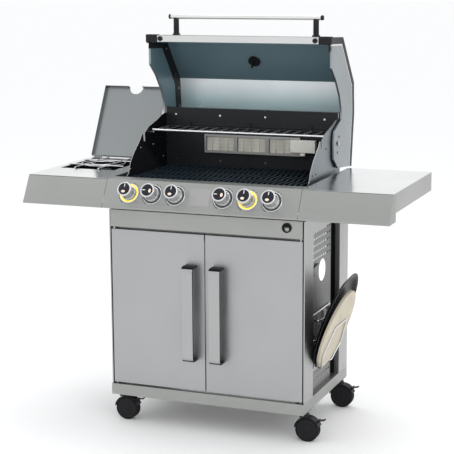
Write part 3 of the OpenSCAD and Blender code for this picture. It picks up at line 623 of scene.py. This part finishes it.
def make_firebox_screws():
    """Heads on the rear wall and on both faces of the side plates, placed as (y, z) there."""
    wall_xs = (-300, -120, 60, 290)
    plate_inner = ((130, 918), (220, 985), (330, 985), (420, 930))
    plate_outer = ((150, 925), (185, 925), (300, 1000))
    low, high = mm_box("rear_wall")
    spots = [(at(x, low.y, z), -Y) for x in wall_xs for z in (low.z + 110, high.z - 26)]
    screw_heads("rear_wall_screws", spots, 4.2, CHROME, "rear_wall")
    outer = mm_box("firebox_side_plates")[1].x
    inner = outer - 2
    spots = [(at(-s * inner, y, z), X * s) for s in (-1, 1) for y, z in plate_inner]
    screw_heads("side_plate_screws", spots, 3.6, CHROME, "firebox_side_plates")
    spots = [(at(s * outer, y, z), X * s) for s in (-1, 1) for y, z in plate_outer]
    screw_heads("side_plate_outer_screws", spots, 3.4, BLACK_PRINT_AND_SHADE, "firebox_side_plates")


# ---- Control panel ---------------------------------------------------------------------------

RING = ["yellow", "dark", "dark", "dark", "yellow", "dark"]
KNOBS = len(RING)
TURNED_KNOBS = (1, 3)


def knob_place(i):
    joint = JOINTS[f"knob_{i + 1}_turn"]
    return basis(Vector(joint["pos_m"]), joint["axis"])


def make_knob(i):
    """Chrome barrel with a waist, a dark face, a white pointer and a warm mark opposite it."""
    node = f"knob_{i + 1}"
    place = knob_place(i)
    pointer = place @ Matrix.Rotation(math.radians(90 if i in TURNED_KNOBS else 0), 4, "Z")
    bm = bmesh.new()
    barrel = ([(4.0, 5.6), (27.6, 5.6)] + arc((27.6, 6.8), 1.2, -90, 30, 4)
              + [(26.9, 12.6)] + arc((25.4, 13.6), 1.4, 20, 80, 3)
              + [(24.3, 20.0), (23.3, 30.0), (23.2, 40.0), (24.2, 44.6)]
              + arc((24.6, 46.2), 1.3, -60, 0, 3) + arc((24.0, 47.9), 1.9, 0, 80, 5)
              + [(22.4, 49.7), (21.2, 49.2), (20.9, 48.0), (4.0, 48.0)])
    lathe(bm, barrel + [barrel[0]], place, 72)
    finish_piece(f"{node}_barrel", bm, [CHROME], node, replaces=[node])
    bm = bmesh.new()
    face_z = 49.4
    face = [(0, 46.8), (20.8, 46.8), (20.8, 48.6), (19.6, 48.9), (10, 49.3), (0, face_z)]
    lathe(bm, face, place)
    finish_piece(f"{node}_face", bm, [FACE], node)
    bm = bmesh.new()
    slab(bm, (3.0, 12, 1.3), pointer @ Matrix.Translation((0, 13 * MM, face_z * MM)))
    finish_piece(f"{node}_pointer", bm, [POINTER], node, bevel=0.4)
    bm = bmesh.new()
    spot = (pointer @ Matrix.Translation((-2.0 * MM, -9.5 * MM, 49.0 * MM))
            @ Matrix.Diagonal((1.5, 1, 1, 1)))
    lathe(bm, [(0, 0.9), (3.6, 0.8), (4.6, 0.4), (4.8, -0.4), (0, -0.4)], spot, 32)
    finish_piece(f"{node}_mark", bm, [MARK], node)


def make_bezels():
    """Dished chrome rings with a tinted light ring inside each."""
    outer, inner, stem_r = 35.8, 29.0, 5.2
    bm = bmesh.new()
    ring = ([(outer, 0.1)] + arc((outer - 1.6, 3.0), 1.6, 0, 80, 4)
            + [(33.9, 4.7), (33.7, 3.2), (inner, 3.0), (stem_r, 3.0), (stem_r, 0.1)])
    for i in range(KNOBS):
        lathe(bm, ring + [ring[0]], knob_place(i), 72)
    finish_piece("bezel_rings", bm, [CHROME], "knob_bezels", replaces=["knob_bezels"])
    glow = [(28.0, 3.1), (33.5, 3.1), (33.6, 4.2), (32.0, 4.9), (28.4, 4.8), (28.0, 3.1)]
    for i, tint in enumerate(RING):
        bm = bmesh.new()
        lathe(bm, glow, knob_place(i), 72)
        finish_piece(f"light_ring_{i + 1}", bm, [GLOW[tint]], "knob_bezels")


def make_panel_marks():
    """Printed setting marks round each bezel, and a blank plate between the groups of knobs."""
    steps, under, over = 12, 0.02, 0.2
    marks = ((188, 242, 38.4, 40.6), (62, 74, 39.0, 41.4), (44, 54, 39.0, 41.4))
    bm = bmesh.new()
    for i in range(KNOBS):
        place = knob_place(i)
        for start, end, inner, widest in marks:
            ends = []
            for k in range(steps + 1):
                a = math.radians(start + (end - start) * k / steps)
                outer = inner + (widest - inner) * (0.35 + 0.65 * k / steps)
                section = ((inner, under), (outer, under), (outer, over), (inner, over))
                ends.append([
                    bm.verts.new(place @ (Vector((r * math.cos(a), r * math.sin(a), z)) * MM))
                    for r, z in section])
            for a, b in zip(ends, ends[1:]):
                for k in range(4):
                    bm.faces.new((a[k], a[(k + 1) % 4], b[(k + 1) % 4], b[k]))
            bm.faces.new(ends[0])
            bm.faces.new(ends[-1][::-1])
    finish_piece("panel_marks", bm, [BLACK_PRINT_AND_SHADE], "control_panel")
    middle = (knob_place(2).translation + knob_place(3).translation) / 2
    tilt = basis(middle, JOINTS["knob_1_turn"]["axis"])
    bm = bmesh.new()
    slab(bm, (76, 62, 0.4), tilt @ Matrix.Translation((0, 0, 0.2 * MM)))
    finish_piece("panel_plate", bm, [LABEL], "control_panel", bevel=0.15)


def make_control_panel():
    skin("control_panel", STEEL, bevel=0.7, segments=3)
    make_bezels()
    make_panel_marks()
    for i in range(KNOBS):
        make_knob(i)


# ---- Shelves and side burner -----------------------------------------------------------------


def make_shelves():
    # Tops take the lighter steel, sides the darker: the difference in colour is painted sheen.
    def top(centre, normal):
        return 0 if normal.z > 0.5 else 1

    for node in ("right_shelf", "left_shelf"):
        skin(node, SHELF_TOP_SHEEN, STEEL_Y, pick=top, bevel=0.8, segments=3)
    skin("shelf_fascias", STEEL, bevel=0.8, segments=3)


def make_side_burner():
    skin("side_burner_bowl", ENAMEL, bevel=0.5)
    skin("side_burner_lid", SIDE_LID, bevel=0.6, segments=3)
    low, high = mm_box("side_burner_head")
    middle = (low + high) / 2
    place = Matrix.Translation(at(middle.x, middle.y, low.z))
    bm = bmesh.new()
    lathe(bm, [(0, 0.1), (14.8, 0.1), (14.8, 9.6), (24, 10.4), (29.8, 19.4), (0, 19.6)], place)
    finish_piece("side_burner_body", bm, [ALUMINIUM], "side_burner_head",
                 replaces=["side_burner_head"])
    bm = bmesh.new()
    cap = ([(0, 19.7), (32.6, 19.7)] + arc((32.6, 21.2), 1.2, -70, 70, 4)
           + [(28, 26.4), (16, 27.8), (0, 27.9)])
    lathe(bm, cap, place)
    finish_piece("side_burner_cap", bm, [ENAMEL], "side_burner_head")
    # Black blocks at the gas ports: painted shade in the port openings.
    bm = bmesh.new()
    ports, port_r, port_z = 32, 27.4, 15
    for i in range(ports):
        a = math.tau * i / ports
        out = Vector((math.cos(a), math.sin(a), 0))
        spot = place.translation + out * port_r * MM + Z * port_z * MM
        slab(bm, (1.6, 1.6, 5), basis(spot, Z, out))
    finish_piece("side_burner_port_shade", bm, [BLACK_PRINT_AND_SHADE], "side_burner_head")
    make_pan_support()


def make_pan_support():
    """Two pairs of chromed bars crossing over the well, and two rings under them."""
    low, high = mm_box("side_burner_grate")
    middle = (low + high) / 2
    bar_r, ring_r, bar_xs, bar_ys, ring_sizes = 2.9, 2.2, (-48, 48), (-62, 62), (45, 82)
    z = high.z - 3
    bm = bmesh.new()
    for x in bar_xs:
        tube(bm, [at(middle.x + x, low.y + 1, z), at(middle.x + x, high.y - 1, z)], bar_r)
    for y in bar_ys:
        tube(bm, [at(low.x + 1, middle.y + y, z), at(high.x - 1, middle.y + y, z)], bar_r)
    for r in ring_sizes:
        ring = [at(middle.x + r * math.cos(t), middle.y + r * math.sin(t), z - 1)
                for t in (math.tau * i / 48 for i in range(49))]
        tube(bm, ring, ring_r, 12, round_ends=False)
    bmesh.ops.remove_doubles(bm, verts=bm.verts, dist=0.01 * MM)
    finish_piece("pan_support_bars", bm, [CHROME], "side_burner_grate",
                 replaces=["side_burner_grate"])


# ---- Lid -------------------------------------------------------------------------------------


def make_lid():
    """The folded shell: a dark slope, a pale rear band that is a painted highlight, and brushed steel outside."""
    rear_band = REAR_FOLD_Z * MM

    buffer_x, strip_y = 288.5 * MM, FRONT + 308.8 * MM

    def zone(centre, normal):
        inward = normal.y < -0.2 or normal.z < -0.2
        if not inward:
            return 0
        # Inside faces below the rear fold take the pale painted highlight.
        return 1 if centre.z > rear_band else 2

    def inner_face(centre, normal):
        return int(normal.x * centre.x < 0 and abs(normal.x) > 0.5)

    def rubber_buffer(centre, normal):
        return int(abs(centre.x) > buffer_x and centre.y < strip_y)

    skin("lid_shell", STEEL, INSIDE, INSIDE_PAINTED_HIGHLIGHT, pick=zone, bevel=0.7, segments=3)
    skin("lid_end_caps", CAP, INSIDE, pick=inner_face, bevel=1.4, segments=3)
    skin("lid_rim_trim", RIM, PLASTIC, pick=rubber_buffer, bevel=0.8, segments=3)
    skin("thermometer", PLASTIC, bevel=0.8, segments=3)


def make_lid_handle():
    """A polished bar with black end caps on two dark posts."""
    low, high = mm_box("lid_handle")
    bar_r, post_x = 9, 272
    y, z, reach = (low.y + high.y) / 2, high.z - bar_r, high.x
    bm = bmesh.new()
    tube(bm, [at(-reach + 9, y, z), at(reach - 9, y, z)], bar_r, 40, round_ends=False)
    finish_piece("lid_handle_bar", bm, [RIM], "lid_handle", replaces=["lid_handle"])
    bm = bmesh.new()
    for side in (-1, 1):
        end = [at(side * (reach - 10), y, z), at(side * reach, y, z)]
        place = basis(end[0], X * side, Y)
        cap = [(0, 0), (8.9, 0), (8.9, 7.6)] + arc((7.5, 8.4), 1.4, 0, 90, 4) + [(0, 9.9)]
        lathe(bm, cap, place, 40)
        top = z - low.z - 4
        post = [(0, 0.1), (14.4, 0.1), (14.8, 1.2), (14.2, 4.4), (11.4, 5.6), (10.4, 8.0),
                (10.2, top), (0, top)]
        lathe(bm, post, basis(at(side * post_x, y, low.z), Z, X), 40)
    finish_piece("lid_handle_posts", bm, [PLASTIC], "lid_handle")


def offset_inward(path, distance):
    """The same open path moved to its right, with mitred corners."""
    out = []
    for i, p in enumerate(path):
        before = (Vector(path[i]) - Vector(path[i - 1])).normalized() if i else None
        after = (Vector(path[i + 1]) - Vector(path[i])).normalized() if i + 1 < len(path) else None
        sides = [Vector((d.y, -d.x)) for d in (before, after) if d is not None]
        mitre = sum(sides, Vector((0, 0)))
        mitre *= len(sides) / mitre.length_squared if len(sides) == 2 else 1
        out.append(Vector(p) + mitre * distance)
    return out


def ribbon(bm, outer, inner, x0, x1):
    """A flat strip between two (y, z) paths, given thickness along X."""
    rings = [[bm.verts.new(at(x, *p)) for x, p in ((x0, a), (x0, b), (x1, b), (x1, a))]
             for a, b in zip(outer, inner)]
    for a, b in zip(rings, rings[1:]):
        for k in range(4):
            bm.faces.new((a[k], a[(k + 1) % 4], b[(k + 1) % 4], b[k]))
    bm.faces.new(rings[0])
    bm.faces.new(rings[-1][::-1])


def make_cap_trim():
    """Black edging outside each end cap with a thin bright strip inside it that is a painted highlight, a dark
    corner strip inside, and the rim's ends.
    """
    face = mm_box("lid_end_caps")[1].x
    inner = face - 8
    edging, strip, corner_width = 24, 6, 50
    rim_start, rim_stop, rim_y, rim_z = 310.4, 357, 322, 1379
    border = offset_inward(LID_OUTLINE, 0.3), offset_inward(LID_OUTLINE, edging)
    band = offset_inward(LID_OUTLINE, edging), offset_inward(LID_OUTLINE, edging + strip)
    corner = offset_inward(LID_OUTLINE, 2.4), offset_inward(LID_OUTLINE, corner_width)
    for side, tag in ((-1, "left"), (1, "right")):
        bm = bmesh.new()
        ribbon(bm, *border, side * face, side * (face + 1.1))
        ribbon(bm, *[p[:4] for p in corner], side * (inner - 1.5), side * inner)
        finish_piece(f"cap_edging_{tag}", bm, [PLASTIC], "lid_end_caps",
                     bevel=0.4)
        bm = bmesh.new()
        # A thin bright strip along the edging: a painted highlight on the cap's edge.
        ribbon(bm, *band, side * face, side * (face + 0.6))
        finish_piece(f"cap_painted_highlight_strip_{tag}", bm, [RIM], "lid_end_caps", bevel=0.2)
        bm = bmesh.new()
        middle = at(side * (rim_start + rim_stop) / 2, rim_y, rim_z)
        slab(bm, (rim_stop - rim_start, 24, 28), Matrix.Translation(middle))
        finish_piece(f"rim_end_{tag}", bm, [PLASTIC], "lid_end_caps",
                     bevel=2.2, segments=4)
    bolts = []
    for side in (-1, 1):
        for a, b in zip(corner[0][:4], corner[0][1:4]):
            for share in (0.2, 0.8):
                y, z = a.lerp(b, share) + Vector((-16, -16))
                bolts.append((at(side * (inner - 1.6), y, z), -X * side))
    screw_heads("cap_bolts", bolts, 3.4, CHROME, "lid_end_caps")
    ears = ((392, 1010), (420, 1030), (400, 975))
    bolts = [(at(s * face, y, z), X * s) for s in (-1, 1) for y, z in ears]
    screw_heads("ear_bolts", bolts, 4.0, BLACK_PRINT_AND_SHADE, "lid_end_caps")


# ---- Pizza stone, pan and rack ---------------------------------------------------------------


def make_side_rack():
    skin("accessory_rack", CHROME, bevel=0)
    skin("pizza_stone", STONE, bevel=2.4, segments=4)
    skin("round_pan", PAN, bevel=0.4)


# ---- Casters ---------------------------------------------------------------------------------


def make_caster(tag):
    """Twin wheels with tyres and hub covers under a hood, and a brake lever."""
    skin(f"fork_{tag}", PLASTIC, bevel=0.7, segments=3)
    skin(f"brake_{tag}", PLASTIC, bevel=0.4)
    radius, inner, outer, axle_r = 42.5, 5.2, 17, 3.9
    tyre = ([(33, inner), (radius - 3, inner)] + arc((radius - 3, inner + 3), 3, -90, 0, 4)
            + arc((radius - 4, outer - 4), 4, 0, 90, 5)
            + [(35.5, outer), (35, outer - 0.8), (33, outer - 0.8)])
    hub = [(0, inner), (33.4, inner), (33.4, outer - 1.2), (31, outer - 1.0), (30, outer - 1.8),
           (14, outer - 1.8), (12.4, outer - 0.6), (9, outer - 0.3), (0, outer - 0.2)]
    place = basis(Vector(JOINTS[f"axle_{tag}"]["pos_m"]), -Y, X)
    sides = [place @ Matrix.Diagonal((1, 1, side, 1)) for side in (-1, 1)]
    bm = bmesh.new()
    for turned in sides:
        lathe(bm, tyre + [tyre[0]], turned, 72)
    finish_piece(f"tyres_{tag}", bm, [RUBBER], f"wheels_{tag}", replaces=[f"wheels_{tag}"])
    bm = bmesh.new()
    for turned in sides:
        lathe(bm, hub, turned, 72)
        lathe(bm, [(axle_r, -0.1), (axle_r, inner + 0.2)], turned, 32)
    finish_piece(f"hubs_{tag}", bm, [PLASTIC], f"wheels_{tag}")


make_cart()
make_cart_screws()
make_door_handle("left")
make_door_handle("right")
make_firebox()
make_warming_rack()
make_rear_burner()
make_firebox_screws()
make_control_panel()
make_shelves()
make_side_burner()
make_lid()
make_lid_handle()
make_cap_trim()
make_side_rack()
for corner_tag in ("fl", "fr", "rl", "rr"):
    make_caster(corner_tag)
